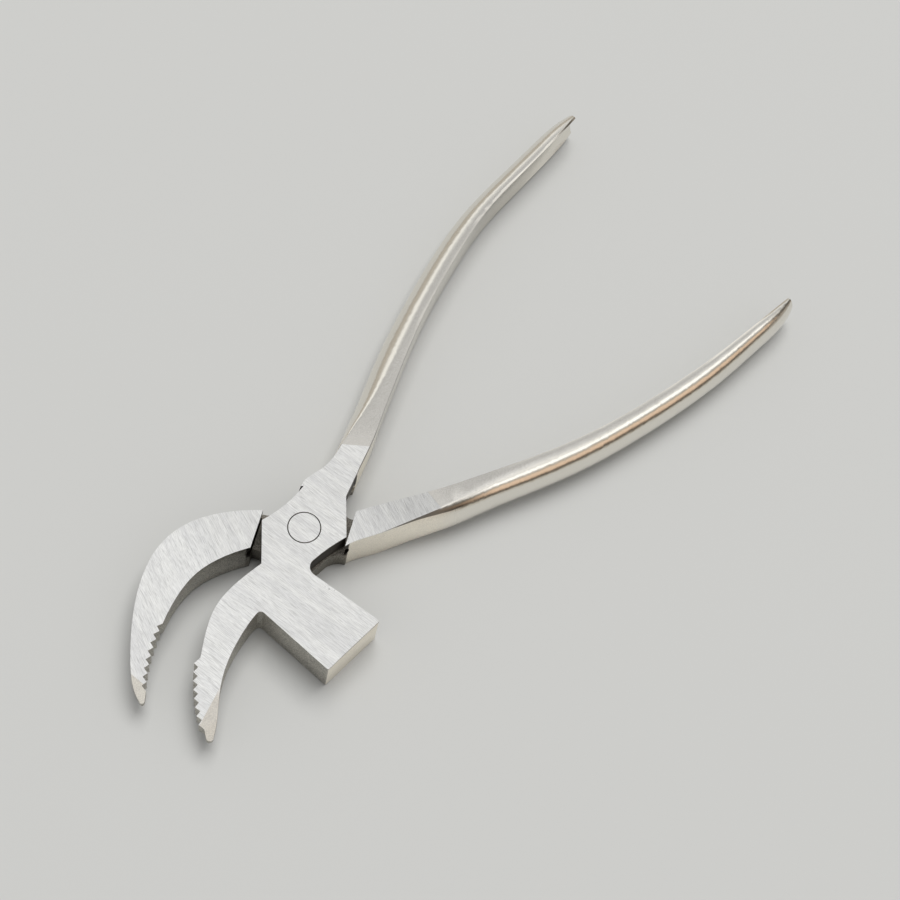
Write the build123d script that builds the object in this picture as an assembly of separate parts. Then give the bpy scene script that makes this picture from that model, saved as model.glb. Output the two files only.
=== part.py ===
from build123d import *
import os
from math import cos, pi, radians, sin

# Lasting pliers with a hammer on one lever, lying flat and open.
# Millimetres. +Z is up and the underside is at Z 0. The origin is on the pivot axis.
# +X runs from the pivot to the handles, midway between them when the pliers are open.

os.makedirs("parts", exist_ok=True)

# Stock and lap joint
stock_thickness = 12.7
lap_clearance = 0.05
shoulder_distance = 11.75
shoulder_slant = 29.9
parallel_swing = 16.5
plate_reach = 11.1
plate_half_width = 8.85
plate_left = -11.1
plate_right = 12.7
web_overlap = 0.8
web_root = 1.35
web_corner = -1.8
groove_radius = 2.0
groove_depth = 1.1
groove_height = 2.6

# Pivot rivet
shank_diameter = 6.5
head_diameter = 8.7
head_depth = 1.1
ring_chamfer = 0.15
running_clearance = 0.05

# Swing and bite
closing_swing = 16.8
bite_gap_angle = 0.5
bite_start = (-45.05, -7.89)
bite_end = (-54.89, -20.44)
bite_bow = 0.7
bite_teeth = 8
tooth_depth = 1.15

# Plans of the jaws, from the pivot out along the outer side and back along the inner side
hammer_jaw_outer = [(-29.5, -9.8), (-38.7, -12.95), (-45.1, -16.9), (-51.0, -22.2), (-54.5, -24.7)]
hammer_jaw_nose = [(-56.0, -24.7), (-56.0, -23.6)]
hammer_jaw_inner = [(-43.4, -7.6), (-37.9, -3.6), (-31.7, -0.4), (-24.0, 0.6)]
plain_jaw_outer = [
    (-4.0, 10.4), (-13.45, 17.85), (-22.3, 21.6), (-30.5, 22.1), (-38.9, 19.2), (-48.6, 12.3),
    (-56.5, 4.2), (-60.6, -1.6), (-61.8, -5.2),
]
plain_jaw_nose = [(-61.65, -6.0), (-60.8, -6.0)]
plain_jaw_inner = [(-44.2, 5.8), (-37.8, 8.35), (-29.5, 9.8), (-22.0, 8.5), (-11.0, 3.6)]

# Jaw tapers: where each starts, then distance out and half thickness at two places
plain_jaw_angle = 186.85
plain_jaw_taper = (15.0, (29.0, 5.0), (64.0, 2.1))
hammer_jaw_angle = 180.0
hammer_jaw_taper = (17.0, (31.0, 5.3), (57.0, 2.15))

# Tip bevels: direction, distance out, half thickness there, fall for each millimetre out
plain_tip_bevel = (186.85, 62.0, 0.8, 0.45)
hammer_tip_bevel = (270.0, 24.8, 0.8, 0.35)
hammer_tip_centre = -58.0

# Hammer
hammer_left_root = (-24.0, -9.0)
hammer_left_end = (-22.55, -32.6)
hammer_right_end = (-3.65, -32.15)
hammer_right_root = (-7.8, -8.4)
neck_fillet = 2.6
crotch_fillet = 1.3
corner_fillet = 0.4

# Points that shape a handle's rounded outer side
bow_steps = 6

# Handle stations: X and Y of the inner edge, then width, land, half height, hollow of the
# inner face, lip at its edges, and how far the outer side leans out towards its foot. The
# plain handle's root adds the degrees by which the land's outer edge stays a crisp corner
hammer_grip_stations = [
    (11.5, -2.7, 12.4, 11.6, 6.6, -0.1, 0.1, 0.0),
    (19.4, 0.9, 9.65, 8.8, 6.6, -0.15, 0.1, 0.0),
    (26.3, 4.1, 8.0, 6.7, 6.5, -0.2, 0.1, 0.0),
    (33.2, 7.1, 8.3, 5.8, 6.39, -0.25, 0.12, 0.0),
    (38.0, 9.6, 8.0, 4.4, 6.34, -0.25, 0.15, 0.0),
    (47.0, 14.1, 7.8, 2.4, 6.32, -0.25, 0.2, 0.0),
    (60.0, 20.4, 7.5, 1.2, 6.3, -0.25, 0.2, 0.0),
    (75.0, 26.8, 6.8, 1.0, 6.2, -0.2, 0.2, 0.0),
    (92.0, 32.6, 6.6, 1.0, 5.95, -0.1, 0.2, 0.0),
    (108.0, 36.9, 5.9, 0.9, 5.6, 0.3, 0.2, 0.0),
    (124.0, 39.0, 5.4, 0.8, 5.4, 1.0, 0.2, 0.0),
    (138.0, 40.5, 5.1, 0.7, 5.3, 1.7, 0.25, 0.0),
    (148.5, 41.8, 4.2, 0.6, 4.9, 1.7, 0.3, 0.0),
    (152.8, 42.6, 2.9, 0.5, 4.1, 1.1, 0.35, 0.0),
]
plain_grip_stations = [
    (7.5, -3.2, 8.9, 8.6, 6.65, -0.1, 0.1, 0.3, 65),
    (15.6, -6.9, 8.5, 7.85, 6.65, -0.15, 0.1, 0.6, 55),
    (22.4, -10.2, 8.45, 7.0, 6.6, -0.2, 0.12, 0.85, 40),
    (30.0, -14.0, 8.4, 5.75, 6.5, -0.25, 0.15, 0.8, 25),
    (36.5, -17.0, 8.35, 4.75, 6.36, -0.25, 0.2, 0.4, 10),
    (45.5, -20.7, 7.7, 2.6, 6.33, -0.25, 0.2, 0.0),
    (58.0, -25.7, 7.1, 1.3, 6.3, -0.25, 0.2, 0.0),
    (73.0, -30.9, 6.7, 1.0, 6.2, -0.2, 0.2, 0.0),
    (90.0, -35.1, 6.3, 1.0, 5.95, -0.1, 0.2, 0.0),
    (107.0, -37.9, 6.2, 0.9, 5.6, 0.3, 0.2, 0.0),
    (122.0, -39.7, 5.8, 0.8, 5.4, 1.0, 0.2, 0.0),
    (138.0, -40.8, 5.0, 0.7, 5.3, 1.6, 0.25, 0.0),
    (149.5, -41.3, 4.1, 0.6, 4.9, 1.6, 0.3, 0.0),
    (154.4, -41.4, 2.7, 0.5, 4.1, 1.0, 0.35, 0.0),
]

# Length of the blocks that cut away or keep one side, longer than the pliers
cutting_length = 300.0

mid_plane = stock_thickness / 2
plate_slant = shoulder_slant + parallel_swing
bite_turn = closing_swing + bite_gap_angle


def turned(point, angle):
    """The point turned about the pivot axis."""
    turn = radians(angle)
    x, y = point
    return (x * cos(turn) - y * sin(turn), x * sin(turn) + y * cos(turn))


def lap_recess(slant, low, high):
    """The milled space between a lever's two shoulders."""
    block = Box(cutting_length, 2 * shoulder_distance, high - low)
    return Rot(0, 0, slant) * Pos(0, 0, (low + high) / 2) * block


def shoulder_grooves(slant, height):
    """Round grooves that hollow both shoulder faces."""
    standoff = shoulder_distance + groove_depth - groove_radius
    bar = Rot(0, 90, 0) * Cylinder(groove_radius, cutting_length)
    pair = Pos(0, standoff, height) * bar + Pos(0, -standoff, height) * bar
    return Rot(0, 0, slant) * pair


def beyond_shoulder(slant, side):
    """Everything past one shoulder. Side is +1 for the shoulder on the +Y side."""
    block = Box(2 * cutting_length, cutting_length, 2 * stock_thickness)
    centre = Pos(0, side * (shoulder_distance + cutting_length / 2), mid_plane)
    return Rot(0, 0, slant) * centre * block


def past_web_corner():
    """Everything to the jaw side of the web's corner, along the plain lever's shoulder."""
    block = Box(cutting_length, cutting_length, 2 * stock_thickness)
    return Rot(0, 0, shoulder_slant) * Pos(web_corner - cutting_length / 2, 0, mid_plane) * block


def bite_points():
    """Zigzag of the hammer lever's tooth tips and roots, from the pivot out."""
    chord = Vector(*bite_end) - Vector(*bite_start)
    out = Vector(chord.Y, -chord.X).normalized()
    steps = 2 * bite_teeth - 2
    points = []
    for step in range(steps + 2):
        share = step / steps
        lift = 4 * bite_bow * share * (1 - share)
        lift += tooth_depth / 2 if step % 2 == 0 else -tooth_depth / 2
        place = Vector(*bite_start) + chord * share + out * lift
        points.append((place.X, place.Y))
    return points


def above_and_below(side_face, width):
    """Cuts of a side view drawn above the mid-plane, and the same below it."""
    cut = extrude(Plane.XZ * side_face, amount=width / 2, both=True)
    upper = Pos(0, 0, mid_plane) * cut
    lower = Pos(0, 0, mid_plane) * mirror(cut, about=Plane.XY)
    return upper + lower


def jaw_taper(angle, start, middle, end):
    """Wedge-shaped cuts above and below a jaw that thin it towards its tip."""
    slope = (end[1] - middle[1]) / (end[0] - middle[0])
    far = end[0] + stock_thickness
    far_half = end[1] + stock_thickness * slope
    side_face = make_face([
        Spline((start, mid_plane), middle, end, (far, far_half), tangents=[(1, 0), (1, slope)]),
        Line((far, far_half), (far, stock_thickness)),
        Line((far, stock_thickness), (start, stock_thickness)),
        Line((start, stock_thickness), (start, mid_plane)),
    ])
    return Rot(0, 0, angle) * above_and_below(side_face, cutting_length)


def tip_bevel(angle, out, half, fall, width):
    """Flat cuts above and below a jaw tip that bring it down to a thin edge."""
    run = (mid_plane - half) / fall
    edges = Polyline(
        (out - run, mid_plane), (out + run, half - run * fall), (out + run, mid_plane), close=True,
    )
    return Rot(0, 0, angle) * above_and_below(make_face(edges), width)


def grip_section(width, flat, half, hollow, lip, lean, crease=0):
    """D-shaped section: inner face, flat land, rounded outer side. X runs outwards."""
    bow_width = width - flat - lean / 2
    reach = pi / 2 - radians(crease)
    bow_points = []
    for step in range(bow_steps + 1):
        turn = reach - 2 * reach * step / bow_steps
        height = sin(turn) / sin(reach)
        swell = (cos(turn) - cos(reach)) / (1 - cos(reach))
        bow_points.append((flat + lean * (1 - height) / 2 + bow_width * swell, half * height))
    fall = -half * cos(reach) / sin(reach)
    foot_run = lean * cos(reach) / sin(reach) / 2
    bow_run = bow_width * sin(reach) / (1 - cos(reach))
    start = Vector(foot_run + bow_run, fall).normalized()
    end = Vector(foot_run - bow_run, fall).normalized()
    return make_face([
        Line((0, half - lip), (flat, half)),
        Spline(*bow_points, tangents=[start, end]),
        Line((flat + lean, -half), (0, lip - half)),
        ThreePointArc((0, lip - half), (hollow, 0), (0, half - lip)),
    ])


def grip(stations, side):
    """Handle lofted through its stations. Side is +1 where the handle bows to +Y."""
    sections = []
    for index, (x, y, *section) in enumerate(stations):
        before = stations[max(index - 1, 0)]
        after = stations[min(index + 1, len(stations) - 1)]
        along = Vector(after[0] - before[0], after[1] - before[1]).normalized()
        out = Vector(-along.Y, along.X) * side
        plane = Plane(origin=(x, y, mid_plane), x_dir=out, z_dir=along * side)
        sections.append(plane * grip_section(*section))
    slab = Pos(0, 0, mid_plane) * Box(2 * cutting_length, cutting_length, stock_thickness)
    return loft(sections) & slab


def pivot_hole(radius, low, high):
    return Pos(0, 0, (low + high) / 2) * Cylinder(radius, high - low)


def head_cone(clearance, chamfer):
    """Countersunk head at the top face, or the seat for it when clearance is given."""
    shank = shank_diameter / 2 + clearance
    head = head_diameter / 2 + clearance
    rim = head + chamfer
    edge = stock_thickness - abs(chamfer)
    profile = Polyline(
        (0, stock_thickness - head_depth), (shank, stock_thickness - head_depth), (head, edge),
        (rim, stock_thickness), (0, stock_thickness), close=True,
    )
    return revolve(Plane.XZ * make_face(profile), Axis.Z)


def turned_over(solid):
    return Pos(0, 0, stock_thickness) * mirror(solid, about=Plane.XY)


def pivot_rivet():
    shank = pivot_hole(shank_diameter / 2, head_depth / 2, stock_thickness - head_depth / 2)
    head = head_cone(0, -ring_chamfer)
    return shank + head + turned_over(head)


def rivet_seat(clearance):
    hole = pivot_hole(shank_diameter / 2 + clearance, -head_depth, stock_thickness + head_depth)
    seat = head_cone(clearance, ring_chamfer)
    return hole + seat + turned_over(seat)


def corner(face, point, radius):
    """The face with its corner nearest to the point rounded."""
    nearest = face.vertices().sort_by_distance((point[0], point[1], 0))[0]
    return fillet(nearest, radius)


def hammer_head():
    """Plan of the hammer lever's lap plate, jaw and hammer."""
    bite = bite_points()
    left_top = turned((1.9, plate_reach), plate_slant)
    left_low = turned((-10.4, plate_reach), plate_slant)
    right_low = turned((-2.5, -plate_reach), plate_slant)
    right_top = turned((9.3, -plate_reach), plate_slant)
    plate_top = turned((2.75, shoulder_distance), -shoulder_slant)
    inside_top = turned((4.0, shoulder_distance + web_overlap), -shoulder_slant)
    inside_low = turned((17.2, shoulder_distance + web_overlap / 4), -shoulder_slant)
    tip_outer = hammer_jaw_outer[-1]
    tip_inner = hammer_jaw_nose[-1]
    face = make_face([
        ThreePointArc(left_top, (1.3, 8.15), plate_top),
        Line(plate_top, inside_top),
        Line(inside_top, inside_low),
        Line(inside_low, right_top),
        Line(right_top, right_low),
        ThreePointArc(right_low, (0.2, -8.5), hammer_right_root),
        Line(hammer_right_root, hammer_right_end),
        Line(hammer_right_end, hammer_left_end),
        Line(hammer_left_end, hammer_left_root),
        Spline(hammer_left_root, *hammer_jaw_outer, tangents=[(-1, 0), (-1, -0.6)]),
        ThreePointArc(tip_outer, hammer_jaw_nose[0], tip_inner),
        Line(tip_inner, bite[-1]),
        Polyline(*reversed(bite)),
        Line(bite[0], hammer_jaw_inner[0]),
        Spline(*hammer_jaw_inner, left_low),
        Line(left_low, left_top),
    ])
    face = corner(face, hammer_right_root, neck_fillet)
    face = corner(face, hammer_left_root, crotch_fillet)
    for end in (hammer_left_end, hammer_right_end, left_top, left_low, right_low):
        face = corner(face, end, corner_fillet)
    return face


def plain_jaw():
    """Plan of the plain lever's jaw."""
    bite = [turned(point, -bite_turn) for point in bite_points()]
    tip_outer = plain_jaw_outer[-1]
    tip_inner = plain_jaw_nose[-1]
    return make_face([
        Spline(*plain_jaw_outer),
        ThreePointArc(tip_outer, plain_jaw_nose[0], tip_inner),
        Line(tip_inner, bite[-1]),
        Polyline(*reversed(bite)),
        Line(bite[0], plain_jaw_inner[0]),
        Spline(*plain_jaw_inner),
        Line(plain_jaw_inner[-1], plain_jaw_outer[0]),
    ])


def plain_plate():
    """Plan of the plain lever's lap plate, with its webs into jaw and handle."""
    slant = radians(plate_slant)
    left_corner = (plate_left, (-plate_reach - plate_left * sin(slant)) / cos(slant))
    low_corner = ((-plate_reach + plate_half_width * cos(slant)) / sin(slant), -plate_half_width)
    right_corner = (plate_right, (plate_reach - plate_right * sin(slant)) / cos(slant))
    high_corner = (-low_corner[0], plate_half_width)
    low_web = (0.3, -plate_half_width)
    high_web = (-0.3, plate_half_width)
    edge = shoulder_distance + web_overlap
    root = shoulder_distance + web_root
    handle_low = turned((web_corner, -edge), shoulder_slant)
    handle_high = turned((9.25, -edge), shoulder_slant)
    jaw_high = turned((2.9, edge), shoulder_slant)
    jaw_low = turned((-7.55, edge), shoulder_slant)
    face = make_face([
        Line((plate_left, 4.2), left_corner),
        Line(left_corner, low_corner),
        Line(low_corner, low_web),
        ThreePointArc(low_web, (2.9, -9.85), handle_low),
        Line(handle_low, turned((3.45, -root), shoulder_slant)),
        Line(turned((3.45, -root), shoulder_slant), handle_high),
        ThreePointArc(handle_high, (13.0, -5.0), (plate_right, -3.6)),
        Line((plate_right, -3.6), right_corner),
        Line(right_corner, high_corner),
        Line(high_corner, high_web),
        ThreePointArc(high_web, (-2.0, 10.1), jaw_high),
        Line(jaw_high, turned((-2.4, root), shoulder_slant)),
        Line(turned((-2.4, root), shoulder_slant), jaw_low),
        ThreePointArc(jaw_low, (-11.6, 5.5), (plate_left, 4.2)),
    ])
    for point in (left_corner, low_corner, right_corner, high_corner):
        face = corner(face, point, 2 * corner_fillet)
    return face


def hammer_lever():
    lap = mid_plane + lap_clearance / 2
    tip_side = Pos(hammer_tip_centre, 0, 0)
    bevel_width = 2 * (hammer_jaw_inner[0][0] - hammer_tip_centre)
    head = extrude(hammer_head(), amount=stock_thickness)
    head -= jaw_taper(hammer_jaw_angle, *hammer_jaw_taper)
    head -= tip_side * tip_bevel(*hammer_tip_bevel, bevel_width)
    head -= lap_recess(-shoulder_slant, -stock_thickness, lap)
    handle = grip(hammer_grip_stations, 1) & beyond_shoulder(-shoulder_slant, 1)
    lever = head + handle
    lever -= shoulder_grooves(-shoulder_slant, mid_plane - groove_height)
    return lever - rivet_seat(0)


def plain_lever():
    lap = mid_plane - lap_clearance / 2
    jaw = extrude(plain_jaw(), amount=stock_thickness)
    jaw -= jaw_taper(plain_jaw_angle, *plain_jaw_taper)
    jaw -= tip_bevel(*plain_tip_bevel, cutting_length)
    jaw &= beyond_shoulder(shoulder_slant, 1)
    plate = extrude(plain_plate(), amount=lap)
    handle = grip(plain_grip_stations, -1) & beyond_shoulder(shoulder_slant, -1)
    handle -= past_web_corner()
    lever = jaw + plate + handle
    lever -= shoulder_grooves(shoulder_slant, mid_plane + groove_height)
    return lever - rivet_seat(running_clearance)


export_step(hammer_lever(), "parts/hammer_lever.step")
export_step(plain_lever(), "parts/plain_lever.step")
export_step(pivot_rivet(), "parts/pivot_rivet.step")
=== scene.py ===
import math

import bmesh
import bpy
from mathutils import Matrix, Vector


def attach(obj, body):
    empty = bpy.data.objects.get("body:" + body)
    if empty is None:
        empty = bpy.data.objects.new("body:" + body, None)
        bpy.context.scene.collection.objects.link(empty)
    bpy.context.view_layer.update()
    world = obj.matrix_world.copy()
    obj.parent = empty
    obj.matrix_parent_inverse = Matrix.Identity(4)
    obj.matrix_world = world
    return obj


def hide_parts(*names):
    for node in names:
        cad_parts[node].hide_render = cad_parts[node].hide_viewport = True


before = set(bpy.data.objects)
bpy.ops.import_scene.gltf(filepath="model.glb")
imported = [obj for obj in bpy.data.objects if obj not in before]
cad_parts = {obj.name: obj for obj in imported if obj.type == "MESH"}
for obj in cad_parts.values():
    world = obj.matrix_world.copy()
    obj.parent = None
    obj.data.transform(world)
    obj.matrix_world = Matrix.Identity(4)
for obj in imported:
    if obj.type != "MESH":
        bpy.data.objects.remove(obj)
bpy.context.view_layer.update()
print("frame loaded")


# Node helpers. Nodes are set out in rows, in the order they are made

nodeRows = {"columns": 10, "across": 240, "down": 300}


def addNode(tree, kind, **values):
    node = tree.nodes.new(kind)
    row, column = divmod(len(tree.nodes) - 1, nodeRows["columns"])
    node.location = (column * nodeRows["across"], -row * nodeRows["down"])
    for name, value in values.items():
        setattr(node, name, value)
    return node


def feed(tree, socket, value):
    if isinstance(value, bpy.types.NodeSocket):
        tree.links.new(value, socket)
    elif isinstance(value, tuple) and len(socket.default_value) == 4:
        socket.default_value = value + (1.0,)
    else:
        socket.default_value = value


def mathNode(tree, operation, *values, clamp=False):
    node = addNode(tree, "ShaderNodeMath", operation=operation, use_clamp=clamp)
    for socket, value in zip(node.inputs, values):
        feed(tree, socket, value)
    return node.outputs[0]


def product(tree, *values):
    result = values[0]
    for value in values[1:]:
        result = mathNode(tree, "MULTIPLY", result, value)
    return result


def smoothStep(tree, value, low, high):
    node = addNode(tree, "ShaderNodeMapRange", interpolation_type="SMOOTHSTEP")
    for label, given in (("Value", value), ("From Min", low), ("From Max", high)):
        feed(tree, node.inputs[label], given)
    return node.outputs["Result"]


def mixColour(tree, factor, first, second, blend="MIX"):
    node = addNode(tree, "ShaderNodeMix", data_type="RGBA", blend_type=blend)
    for index, value in ((0, factor), (6, first), (7, second)):
        feed(tree, node.inputs[index], value)
    return node.outputs[2]


def toned(colour, factor):
    return tuple(factor * part for part in colour)


def newGroup(name, inputs, outputs):
    group = bpy.data.node_groups.new(name, "ShaderNodeTree")
    for label, kind, default in inputs:
        socket = group.interface.new_socket(name=label, in_out="INPUT", socket_type=kind)
        if default is not None:
            socket.default_value = default
    for label in outputs:
        group.interface.new_socket(name=label, in_out="OUTPUT", socket_type="NodeSocketFloat")
    return group, addNode(group, "NodeGroupInput"), addNode(group, "NodeGroupOutput")


def stretched(tree, value, scale, turn=0.0):
    node = addNode(tree, "ShaderNodeMapping")
    node.inputs["Scale"].default_value = scale
    node.inputs["Rotation"].default_value = (0.0, 0.0, math.radians(turn))
    feed(tree, node.inputs["Vector"], value)
    return node.outputs["Vector"]


def turnedFrame(tree, value, turn):
    node = addNode(tree, "ShaderNodeMapping", vector_type="TEXTURE")
    node.inputs["Rotation"].default_value = (0.0, 0.0, math.radians(turn))
    feed(tree, node.inputs["Vector"], value)
    return node.outputs["Vector"]


def noise(tree, value, **settings):
    node = addNode(tree, "ShaderNodeTexNoise")
    feed(tree, node.inputs["Vector"], value)
    for label, given in settings.items():
        feed(tree, node.inputs[label], given)
    return node.outputs["Fac"]


def colourRamp(tree, value, stops):
    node = addNode(tree, "ShaderNodeValToRGB")
    feed(tree, node.inputs["Fac"], value)
    points = node.color_ramp.elements
    while len(points) < len(stops):
        points.new(0.5)
    for point, (position, colour) in zip(points, stops):
        point.position = position
        point.color = colour + (1.0,)
    return node.outputs["Color"]


# Hairlines left by a belt: long streaks of noise across the brushing direction

brushLook = {
    "streak": (0.055, 1.0, 1.0), "fineDetail": 3.0, "fineRoughness": 0.65,
    "broadScale": 420.0, "broadDetail": 2.0,
    "scratch": (0.045, 1.0, 1.0), "scratchTurn": 4.0, "scratchScale": 5200.0, "scratchFrom": (0.56, 0.66),
}


def buildBrushGroup():
    look = brushLook
    group, start, end = newGroup(
        "beltHairlines",
        [("Coordinates", "NodeSocketVector", None), ("Fine Scale", "NodeSocketFloat", 3000.0)],
        ["Fine", "Broad", "Scratches"],
    )
    streak = stretched(group, start.outputs["Coordinates"], look["streak"])
    scratch = stretched(group, start.outputs["Coordinates"], look["scratch"], look["scratchTurn"])
    fine = noise(group, streak, Scale=start.outputs["Fine Scale"], Detail=look["fineDetail"],
                 Roughness=look["fineRoughness"])
    broad = noise(group, streak, Scale=look["broadScale"], Detail=look["broadDetail"])
    marks = noise(group, scratch, Scale=look["scratchScale"], Detail=1.0)
    feed(group, end.inputs["Fine"], fine)
    feed(group, end.inputs["Broad"], broad)
    feed(group, end.inputs["Scratches"], smoothStep(group, marks, *look["scratchFrom"]))
    return group


brushGroup = buildBrushGroup()

# Speckle and blotches that forging scale leaves on the walls, and the slow waves of hand polishing

scaleLook = {"Speckle": (3600.0, 2.0), "Blotch": (420.0, 3.0), "Waves": (45.0, 1.0)}


def buildScaleGroup():
    group, start, end = newGroup("forgedScale", [("Coordinates", "NodeSocketVector", None)], list(scaleLook))
    for label, (size, detail) in scaleLook.items():
        feed(group, end.inputs[label], noise(group, start.outputs["Coordinates"], Scale=size, Detail=detail))
    return group


scaleGroup = buildScaleGroup()

# Steel shared by both levers and the rivet. Places in metres in the part's frame. A pair is where a finish
# starts and where it is full: a place, or how far the surface faces up (1), near (-1) or away (1)

middleHeight = 0.00635
topHeight = 2 * middleHeight

steelLook = {
    # Brushed flat faces
    "topColour": (0.89, 0.89, 0.875), "topRoughness": 0.36,
    "flatFacing": (0.93, 0.985), "flatHeight": (0.0015, 0.002),
    "streakRange": (0.38, 0.62), "streakTone": 0.82, "scratchTone": 0.72,
    "cloudRange": (0.36, 0.64), "cloudTint": (0.92, 0.92, 0.93), "rootFrom": (0.006, 0.026),
    "hairlineScale": 7600.0, "hairlineDepth": 0.00008,
    # Walls, with grain, and the fairer ground walls, hammer face and tips; the beige of the root walls and hammer
    # face is partly painted light
    "wallColour": (0.62, 0.60, 0.545), "wallTone": 0.48, "wallRoughness": 0.5,
    "grain": {"Speckle": 0.88, "Blotch": 0.12}, "grainRange": (0.38, 0.62),
    "faceColour": (0.99, 0.94, 0.84), "faceTone": 0.88, "faceFrom": (-0.0265, -0.0275), "faceFacing": (-0.8, -0.95),
    "tipColour": (0.72, 0.69, 0.63), "tipTone": 0.82, "tipFrom": (-0.0455, -0.0475), "tipFacing": (0.35, 0.5),
    "polishBlend": 0.0008,
    # Eased edges worn bright, with a painted highlight, and the far edges in painted shade
    "wornAndHighlightColour": (0.80, 0.79, 0.76), "easedEdgeFacing": (0.2, 0.35), "easedEdgeHeight": (0.0061, 0.0058),
    "easedEdgeRoot": (0.008, 0.012), "farFrom": (-0.004, 0.0), "farFacing": (0.2, 0.4),
    # Handles; their upward land darker, a painted shade
    "gripColour": (0.84, 0.81, 0.745), "gripRoughness": 0.19, "gripBlend": (-0.0001, 0.0001),
    "handleBlend": (-0.005, 0.007), "landShadeColour": (0.66, 0.64, 0.60), "landShadeTone": 0.9, "landFacing": (0.8, 0.9),
    "levelFacing": (0.955, 0.995), "waveDepth": 0.00022,
    # Lap recess: painted shade, near black above the foot and lighter, with grain, at the foot
    "jointPitAndShadeColour": (0.045, 0.039, 0.032), "recessHalfWidth": 0.0125, "recessBlend": 0.0003,
    "footColour": (0.38, 0.355, 0.31), "footTone": 0.45, "footTop": (0.0061, 0.0069),
    # Ring round the rivet's head, darkest towards the gap between the handles
    "ringRadius": 0.00435, "ringHalfWidth": 0.0001, "ringCore": 0.4, "ringBearing": (0.94, 0.34),
    "ringDarkFrom": (-0.0035, 0.004), "ringLeast": 0.14, "ringMore": 0.65,
    # Painted shade under the near edge of the flat, also used on the far edges, and nicks
    "paintedShadeColour": (0.15, 0.135, 0.115), "underEdgeShadeStrength": 0.88, "underEdgeShadeFacing": (-0.25, -0.45), "underEdgeShadeSoftness": 0.0001,
    "underEdgeShadeOffset": 0.00005, "nickCore": 0.3,
}

# Angles in degrees. Polished from: the line across the root where a x + b y reaches the third value.
# Painted shade under the edge: where it deepens along x, from what to what depth, and where it fades. Nicks: x, y,
# radius, depth of tone
leverLook = {
    "hammer": {
        "brushAngle": -82.2, "shoulderAngle": -29.9, "polishedFrom": (0.733, 0.680, 0.02523), "wallEnds": 0.0165,
        "rootTone": 1.0, "underEdgeShade": {"along": (0.004, 0.010), "deep": (0.0006, 0.0016), "fade": (0.05, 0.08)},
        "nicks": [(-0.00721, -0.01693, 0.00035, 0.35), (-0.00755, -0.0158, 0.0002, 0.45),
                  (-0.0064, -0.0181, 0.0002, 0.4), (-0.03255, -0.00604, 0.0004, 0.3),
                  (-0.0012, -0.0118, 0.0003, 0.35)],
    },
    "plain": {
        "brushAngle": -107.4, "shoulderAngle": 29.9, "polishedFrom": (0.9955, -0.095, 0.03278), "wallEnds": 0.004,
        "rootTone": 0.78, "underEdgeShade": {"along": (0.013, 0.033), "deep": (0.0, 0.0013), "fade": (0.034, 0.048)},
        "nicks": [(-0.03388, 0.0095, 0.0005, 0.35), (-0.0352, 0.0103, 0.00022, 0.5),
                  (0.07905, -0.03302, 0.0003, 0.9), (-0.0392, 0.0062, 0.00025, 0.3)],
    },
}


def nickMask(tree, place, nicks):
    mask = None
    for x, y, radius, depth in nicks:
        away = addNode(tree, "ShaderNodeVectorMath", operation="DISTANCE")
        feed(tree, away.inputs[0], place)
        away.inputs[1].default_value = (x, y, topHeight)
        nick = product(tree, smoothStep(tree, away.outputs["Value"], radius, radius * steelLook["nickCore"]), depth)
        mask = nick if mask is None else mathNode(tree, "MAXIMUM", mask, nick)
    return mask


def ringMask(tree, place, x, y):
    look = steelLook
    level = addNode(tree, "ShaderNodeVectorMath", operation="MULTIPLY")
    feed(tree, level.inputs[0], place)
    level.inputs[1].default_value = (1.0, 1.0, 0.0)
    reach = addNode(tree, "ShaderNodeVectorMath", operation="LENGTH")
    feed(tree, reach.inputs[0], level.outputs["Vector"])
    offRing = mathNode(tree, "ABSOLUTE", mathNode(tree, "SUBTRACT", reach.outputs["Value"], look["ringRadius"]))
    ring = smoothStep(tree, offRing, look["ringHalfWidth"], look["ringHalfWidth"] * look["ringCore"])
    alongX, alongY = look["ringBearing"]
    towardsGap = mathNode(tree, "MULTIPLY_ADD", x, alongX, product(tree, y, alongY))
    dark = smoothStep(tree, towardsGap, *look["ringDarkFrom"])
    return product(tree, ring, mathNode(tree, "MULTIPLY_ADD", dark, look["ringMore"], look["ringLeast"]))


# A band of painted shade just under the near edge of the flat, deepening along x and fading out
def underEdgeShadeMask(tree, x, z, sideways, flat, along, deep, fade):
    look = steelLook
    depth = addNode(tree, "ShaderNodeMapRange")
    for label, value in zip(("Value", "From Min", "From Max", "To Min", "To Max"), (x, *along, *deep)):
        feed(tree, depth.inputs[label], value)
    edge = topHeight + look["underEdgeShadeOffset"]
    inUnderEdgeShade = smoothStep(tree, mathNode(tree, "ADD", z, depth.outputs["Result"]), edge - look["underEdgeShadeSoftness"],
                        edge + look["underEdgeShadeSoftness"])
    strength = mathNode(tree, "SUBTRACT", look["underEdgeShadeStrength"], product(tree, flat, look["underEdgeShadeStrength"]))
    return product(tree, inUnderEdgeShade, smoothStep(tree, sideways, *look["underEdgeShadeFacing"]),
                   smoothStep(tree, x, fade[1], fade[0]), strength)


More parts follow.
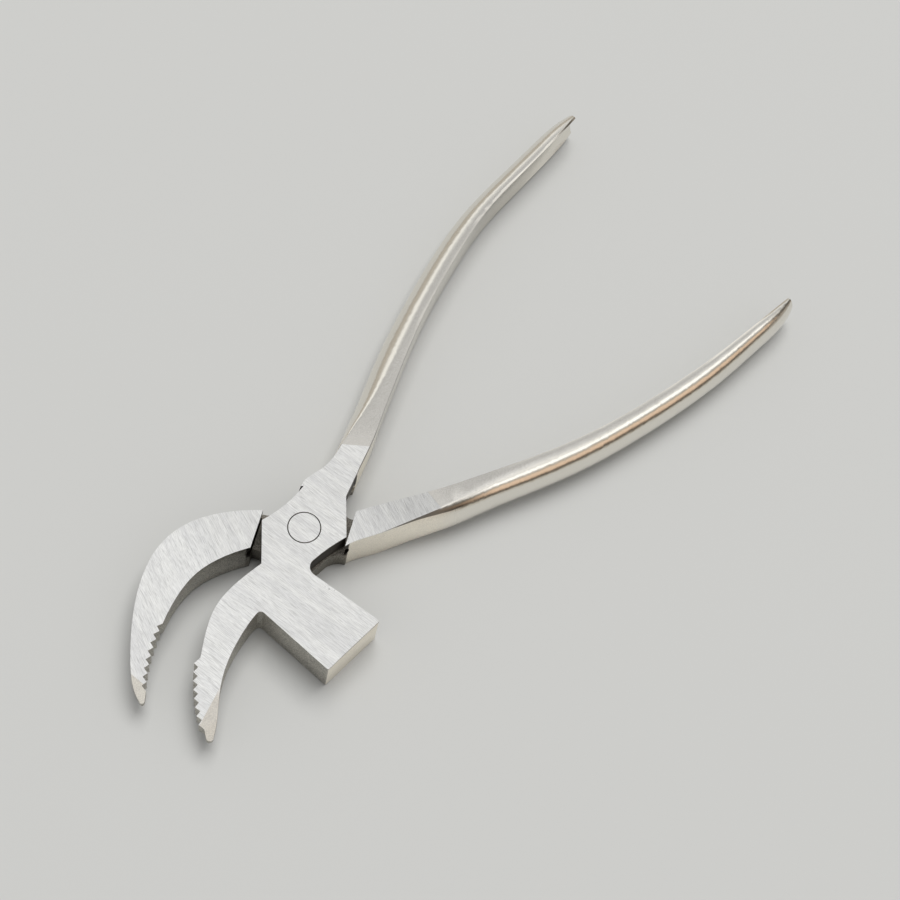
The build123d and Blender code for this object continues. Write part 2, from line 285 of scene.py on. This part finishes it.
def leverMaterial(name, brushAngle, shoulderAngle, polishedFrom, wallEnds, rootTone, underEdgeShade, nicks):
    look = steelLook
    material = bpy.data.materials.new(name)
    material.use_nodes = True
    tree = material.node_tree
    tree.nodes.clear()
    output = addNode(tree, "ShaderNodeOutputMaterial")
    steel = addNode(tree, "ShaderNodeBsdfPrincipled")
    steel.inputs["Metallic"].default_value = 1.0
    feed(tree, output.inputs["Surface"], steel.outputs["BSDF"])

    def step(value, limits):
        return smoothStep(tree, value, *limits)

    def mix(factor, first, second, blend="MIX"):
        return mixColour(tree, factor, first, second, blend)

    place = addNode(tree, "ShaderNodeTexCoord").outputs["Object"]
    where = addNode(tree, "ShaderNodeSeparateXYZ")
    feed(tree, where.inputs[0], place)
    x, y, z = where.outputs
    facing = addNode(tree, "ShaderNodeSeparateXYZ")
    feed(tree, facing.inputs[0], addNode(tree, "ShaderNodeNewGeometry").outputs["Normal"])
    sideways = facing.outputs["Y"]
    upward = mathNode(tree, "ABSOLUTE", facing.outputs["Z"])
    offMiddle = mathNode(tree, "ABSOLUTE", mathNode(tree, "SUBTRACT", z, middleHeight))

    # The polished handle, and the brushed part of each flat face
    alongX, alongY, lineAt = polishedFrom
    along = mathNode(tree, "MULTIPLY_ADD", x, alongX, product(tree, y, alongY))
    onGrip = step(along, [lineAt + shift for shift in look["gripBlend"]])
    onHandle = step(along, [lineAt + shift for shift in look["handleBlend"]])
    offGrip = mathNode(tree, "SUBTRACT", 1.0, onGrip)
    flat = step(upward, look["flatFacing"])
    brushed = product(tree, flat, step(offMiddle, look["flatHeight"]), offGrip)

    # Ground tips, hammer face and root walls; the lighter beige of the hammer face and root walls is partly painted
    # light
    atTip = product(tree, step(x, look["tipFrom"]), step(upward, look["tipFacing"]))
    atFace = product(tree, step(y, look["faceFrom"]), step(sideways, look["faceFacing"]))
    atRoot = step(x, (wallEnds, wallEnds + look["polishBlend"]))
    fair = mathNode(tree, "MAXIMUM", mathNode(tree, "MAXIMUM", atRoot, atFace), atTip)

    # Eased edges: wear with a painted highlight
    rootWall = product(tree, step(offMiddle, look["easedEdgeHeight"]), step(x, look["easedEdgeRoot"]))
    wornAndHighlit = product(tree, step(upward, look["easedEdgeFacing"]), mathNode(tree, "SUBTRACT", offGrip, rootWall, clamp=True))
    # Far eased edges, painted in shade
    farEdge = product(tree, wornAndHighlit, step(x, look["farFrom"]), step(sideways, look["farFacing"]))

    # Handle: its land changes finish at once, its sides slowly
    onLand = product(tree, onGrip, step(upward, look["landFacing"]))
    onSide = product(tree, onHandle, step(upward, look["landFacing"][::-1]))

    # Lap recess and shoulder gaps, painted in shade
    across = addNode(tree, "ShaderNodeSeparateXYZ")
    feed(tree, across.inputs[0], turnedFrame(tree, place, shoulderAngle))
    halfWidth = look["recessHalfWidth"]
    nearPivot = step(mathNode(tree, "ABSOLUTE", across.outputs["Y"]), (halfWidth + look["recessBlend"], halfWidth))
    recess = product(tree, nearPivot, mathNode(tree, "SUBTRACT", 1.0, brushed))

    # Patterns
    hairlines = addNode(tree, "ShaderNodeGroup", node_tree=brushGroup)
    hairlines.inputs["Fine Scale"].default_value = look["hairlineScale"]
    feed(tree, hairlines.inputs["Coordinates"], turnedFrame(tree, place, brushAngle))
    scale = addNode(tree, "ShaderNodeGroup", node_tree=scaleGroup)
    feed(tree, scale.inputs["Coordinates"], place)
    grain = mathNode(tree, "MULTIPLY_ADD", scale.outputs["Speckle"], look["grain"]["Speckle"],
                     product(tree, scale.outputs["Blotch"], look["grain"]["Blotch"]))
    shade = step(grain, look["grainRange"])

    # Colour of the flat faces
    top = look["topColour"]
    topColour = mix(step(hairlines.outputs["Fine"], look["streakRange"]), toned(top, look["streakTone"]), top)
    topColour = mix(hairlines.outputs["Scratches"], topColour, toned(top, look["scratchTone"]))
    clouded = mix(1.0, topColour, look["cloudTint"], "MULTIPLY")
    topColour = mix(step(hairlines.outputs["Broad"], look["cloudRange"]), clouded, topColour)
    rooted = mix(1.0, topColour, (rootTone, rootTone, rootTone), "MULTIPLY")
    topColour = mix(step(x, look["rootFrom"]), topColour, rooted)

    # Colour of everything else
    def grained(kind):
        colour = look[kind + "Colour"]
        return mix(shade, toned(colour, look[kind + "Tone"]), colour)

    # Ground finish on the hammer face and root walls, lightened as painted light
    sideColour = mix(fair, grained("wall"), grained("face"))
    # Eased edges lighter: wear and a painted highlight
    sideColour = mix(wornAndHighlit, sideColour, look["wornAndHighlightColour"])
    # Painted shade on the far eased edges
    sideColour = mix(farEdge, sideColour, look["paintedShadeColour"])
    sideColour = mix(atTip, sideColour, grained("tip"))
    # The handle's upward faces darker than its sides: painted shade
    handleColour = mix(step(upward, look["levelFacing"]), look["gripColour"], grained("landShade"))
    sideColour = mix(mathNode(tree, "MAXIMUM", onLand, onSide), sideColour, handleColour)
    colour = mix(brushed, sideColour, topColour)
    # Painted shade in the lap recess and shoulder gaps
    colour = mix(recess, colour, mix(step(z, look["footTop"]), grained("foot"), look["jointPitAndShadeColour"]))
    # Painted shade under the near edge of the flat
    colour = mix(underEdgeShadeMask(tree, x, z, sideways, flat, **underEdgeShade), colour, look["paintedShadeColour"])
    colour = mix(nickMask(tree, place, nicks), colour, look["jointPitAndShadeColour"])
    colour = mix(ringMask(tree, place, x, y), colour, look["jointPitAndShadeColour"])
    feed(tree, steel.inputs["Base Color"], colour)

    # Roughness
    toGrip = look["gripRoughness"] - look["wallRoughness"]
    side = mathNode(tree, "MULTIPLY_ADD", onHandle, toGrip, look["wallRoughness"])
    toTop = mathNode(tree, "SUBTRACT", look["topRoughness"], side)
    feed(tree, steel.inputs["Roughness"], mathNode(tree, "MULTIPLY_ADD", brushed, toTop, side))

    # Hairlines in the flat faces, slow waves in the handles
    lineBump = addNode(tree, "ShaderNodeBump")
    lineBump.inputs["Distance"].default_value = look["hairlineDepth"]
    feed(tree, lineBump.inputs["Height"], product(tree, hairlines.outputs["Fine"], brushed))
    waveBump = addNode(tree, "ShaderNodeBump")
    waveBump.inputs["Distance"].default_value = look["waveDepth"]
    feed(tree, waveBump.inputs["Height"], product(tree, scale.outputs["Waves"], onHandle))
    feed(tree, waveBump.inputs["Normal"], lineBump.outputs["Normal"])
    feed(tree, steel.inputs["Normal"], waveBump.outputs["Normal"])
    return material


hammerSteel = leverMaterial("hammerLeverSteel", **leverLook["hammer"])
plainSteel = leverMaterial("plainLeverSteel", **leverLook["plain"])
print("steel mixed")

# The levers and the rivet: a merged copy of each solid, with the levers' sharp edges eased

skinLook = {
    "hammer_lever": {"piece": "hammerLeverSkin", "body": "hammer_lever", "slot": "hammer_lever_steel",
                     "material": hammerSteel},
    "plain_lever": {"piece": "plainLeverSkin", "body": "plain_lever", "slot": "plain_lever_steel",
                    "material": plainSteel},
    "pivot_rivet": {"piece": "rivetSkin", "body": "hammer_lever", "slot": "rivet_steel", "material": hammerSteel},
}
# The polished handles keep their own round edges, so easing stops at a place along x.
# Angles in degrees, facing as the upright part of a face's normal
edgeLook = {
    "merge": 0.000002, "flatten": 0.3, "width": 0.00016, "upTo": 0.024, "shortest": 0.0003,
    "flatFacing": 0.97, "wallFacing": 0.3, "offMiddle": 0.002, "sharpFrom": 28.0, "sharpOnFlats": 2.0,
}


def sharpOutline(work):
    look = edgeLook
    for edge in work.edges:
        if len(edge.link_faces) != 2 or not edge.is_convex or edge.calc_length() < look["shortest"]:
            continue
        low, high = sorted(abs(face.normal.z) for face in edge.link_faces)
        ends = [vert.co for vert in edge.verts]
        if high > look["flatFacing"] and low < look["wallFacing"] and max(end.x for end in ends) < look["upTo"] \
                and all(abs(end.z - middleHeight) > look["offMiddle"] for end in ends):
            yield edge


def dressSolid(nodeName, piece, body, slot, material):
    look = edgeLook
    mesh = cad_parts[nodeName].data.copy()
    mesh.name = piece
    mesh.materials.clear()
    mesh.materials.append(material)
    work = bmesh.new()
    work.from_mesh(mesh)
    bmesh.ops.remove_doubles(work, verts=work.verts, dist=look["merge"])
    if nodeName != "pivot_rivet":
        bmesh.ops.dissolve_limit(work, angle_limit=math.radians(look["flatten"]), use_dissolve_boundaries=False,
                                 verts=work.verts, edges=work.edges)
        sharp = list(sharpOutline(work))
        bmesh.ops.bevel(work, geom=sharp, offset=look["width"], offset_type="OFFSET", affect="EDGES", segments=2,
                        profile=0.5, material=-1, clamp_overlap=True)
        print(piece, "edges eased:", len(sharp))
    for face in work.faces:
        face.smooth = True
        face.material_index = 0
    for edge in work.edges:
        if len(edge.link_faces) == 2:
            onFlat = max(abs(face.normal.z) for face in edge.link_faces) > look["flatFacing"] \
                and max(vert.co.x for vert in edge.verts) < look["upTo"]
            limit = look["sharpOnFlats"] if onFlat else look["sharpFrom"]
            edge.smooth = edge.calc_face_angle(0.0) < math.radians(limit)
    work.to_mesh(mesh)
    work.free()
    skin = bpy.data.objects.new(piece, mesh)
    bpy.context.scene.collection.objects.link(skin)
    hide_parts(nodeName)
    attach(skin, body)


for nodeName, skin in skinLook.items():
    dressSolid(nodeName, **skin)
print("levers and rivet dressed")

# Floor

floorLook = {"size": 12.0, "colour": (0.62, 0.62, 0.605), "roughness": 0.9, "specular": 0.1}


def buildFloor(size, colour, roughness, specular):
    mesh = bpy.data.meshes.new("floor")
    work = bmesh.new()
    bmesh.ops.create_grid(work, x_segments=1, y_segments=1, size=size / 2)
    work.to_mesh(mesh)
    work.free()
    plate = bpy.data.objects.new("floor", mesh)
    bpy.context.scene.collection.objects.link(plate)
    paper = bpy.data.materials.new("paleFloor")
    paper.use_nodes = True
    shader = paper.node_tree.nodes["Principled BSDF"]
    shader.inputs["Base Color"].default_value = colour + (1.0,)
    shader.inputs["Roughness"].default_value = roughness
    shader.inputs["Specular IOR Level"].default_value = specular
    mesh.materials.append(paper)


buildFloor(**floorLook)

# Light. Seen from the pliers, bearing runs anticlockwise from +X and spread is the half angle that the lamp
# fills, all in degrees. The share brings the square lamp down to the size of a round one

keyLook = {"bearing": 22.0, "height": 69.0, "spread": 21.0, "light": 2.28, "colour": (1.0, 1.0, 0.99),
           "distance": 8.0, "share": 0.89}


def buildLamp(name, bearing, height, spread, light, colour, distance, share):
    lamp = bpy.data.lights.new(name, "AREA")
    lamp.shape = "SQUARE"
    lamp.size = 2 * distance * math.tan(math.radians(spread)) * share
    lamp.energy = light * math.pi * distance ** 2
    lamp.color = colour
    holder = bpy.data.objects.new(name, lamp)
    level = math.cos(math.radians(height))
    away = Vector((level * math.cos(math.radians(bearing)), level * math.sin(math.radians(bearing)),
                   math.sin(math.radians(height))))
    holder.location = away * distance
    holder.rotation_euler = (-away).to_track_quat("-Z", "Y").to_euler()
    holder.visible_glossy = False  # the steel mirrors the studio in the world, not the lamp
    bpy.context.scene.collection.objects.link(holder)


buildLamp("key", **keyLook)

# The studio that the steel mirrors, on the pliers' four sides: degrees above the horizon and colour
overhead = [(66, (0.84, 0.84, 0.84)), (69, (0.92, 0.92, 0.92)), (73, (1.32, 1.32, 1.32)), (90, (1.45, 1.45, 1.45))]
skyLook = {
    "fill": (0.40, 0.40, 0.40),
    "shadeKept": 0.85,  # how far light thrown back by the steel is held out of the shadows
    "toBack": (-0.12, 0.12), "toRight": (0.5, 0.62), "toLeft": (-0.3, -0.5),
}
skySides = {
    "front": [
        (0, (0.55, 0.52, 0.46)), (5, (0.50, 0.47, 0.41)), (9, (0.06, 0.05, 0.04)), (17, (0.07, 0.058, 0.045)),
        (22, (0.88, 0.65, 0.48)), (34, (0.88, 0.67, 0.51)), (39, (0.36, 0.34, 0.31)), (45, (0.36, 0.35, 0.33)),
        (49, (1.5, 1.5, 1.49)), (56, (1.5, 1.5, 1.49)), (61, (0.80, 0.80, 0.79)),
    ],
    "back": [
        (0, (0.46, 0.43, 0.385)), (24, (0.50, 0.47, 0.425)), (32, (1.0, 1.0, 0.98)), (46, (1.0, 1.0, 0.98)),
        (54, (0.66, 0.66, 0.66)),
    ],
    "right": [
        (0, (0.40, 0.37, 0.33)), (16, (0.34, 0.31, 0.27)), (23, (0.09, 0.08, 0.065)), (36, (0.10, 0.09, 0.08)),
        (44, (0.66, 0.65, 0.63)), (56, (0.78, 0.78, 0.77)),
    ],
    "left": [
        (0, (0.50, 0.48, 0.44)), (12, (1.1, 1.1, 1.08)), (50, (1.1, 1.1, 1.08)), (58, (0.78, 0.78, 0.78)),
    ],
}


def buildSky():
    world = bpy.data.worlds.new("studio")
    bpy.context.scene.world = world
    world.use_nodes = True
    tree = world.node_tree
    tree.nodes.clear()
    output = addNode(tree, "ShaderNodeOutputWorld")
    shader = addNode(tree, "ShaderNodeBackground")
    feed(tree, output.inputs["Surface"], shader.outputs["Background"])
    split = addNode(tree, "ShaderNodeSeparateXYZ")
    feed(tree, split.inputs[0], addNode(tree, "ShaderNodeTexCoord").outputs["Generated"])
    x, y, z = split.outputs
    lift = mathNode(tree, "DIVIDE", mathNode(tree, "ARCSINE", z), math.pi / 2)
    sides = {}
    for name, stops in skySides.items():
        sides[name] = colourRamp(tree, lift, [(angle / 90, colour) for angle, colour in stops + overhead])
    mirrored = mixColour(tree, smoothStep(tree, x, *skyLook["toRight"]), sides["front"], sides["right"])
    mirrored = mixColour(tree, smoothStep(tree, y, *skyLook["toBack"]), mirrored, sides["back"])
    mirrored = mixColour(tree, smoothStep(tree, x, *skyLook["toLeft"]), mirrored, sides["left"])
    path = addNode(tree, "ShaderNodeLightPath")
    held = product(tree, path.outputs["Diffuse Depth"], skyLook["shadeKept"])
    straight = mathNode(tree, "SUBTRACT", path.outputs["Is Glossy Ray"], held, clamp=True)
    feed(tree, shader.inputs["Color"], mixColour(tree, straight, skyLook["fill"], mirrored))


buildSky()
print("floor and light set")

# Camera

cameraLook = {"place": (-0.15407, -0.12558, 0.47405), "turn": (25.60, -7.08, -45.42), "lens": 76.16, "nearest": 0.01}


def buildCamera(place, turn, lens, nearest):
    camera = bpy.data.cameras.new("camera")
    camera.lens = lens
    camera.sensor_width = 36.0
    camera.clip_start = nearest
    holder = bpy.data.objects.new("camera", camera)
    holder.location = place
    holder.rotation_euler = [math.radians(angle) for angle in turn]
    bpy.context.scene.collection.objects.link(holder)
    bpy.context.scene.camera = holder
    bpy.context.scene.view_settings.view_transform = "Standard"


buildCamera(**cameraLook)

bpy.context.view_layer.update()
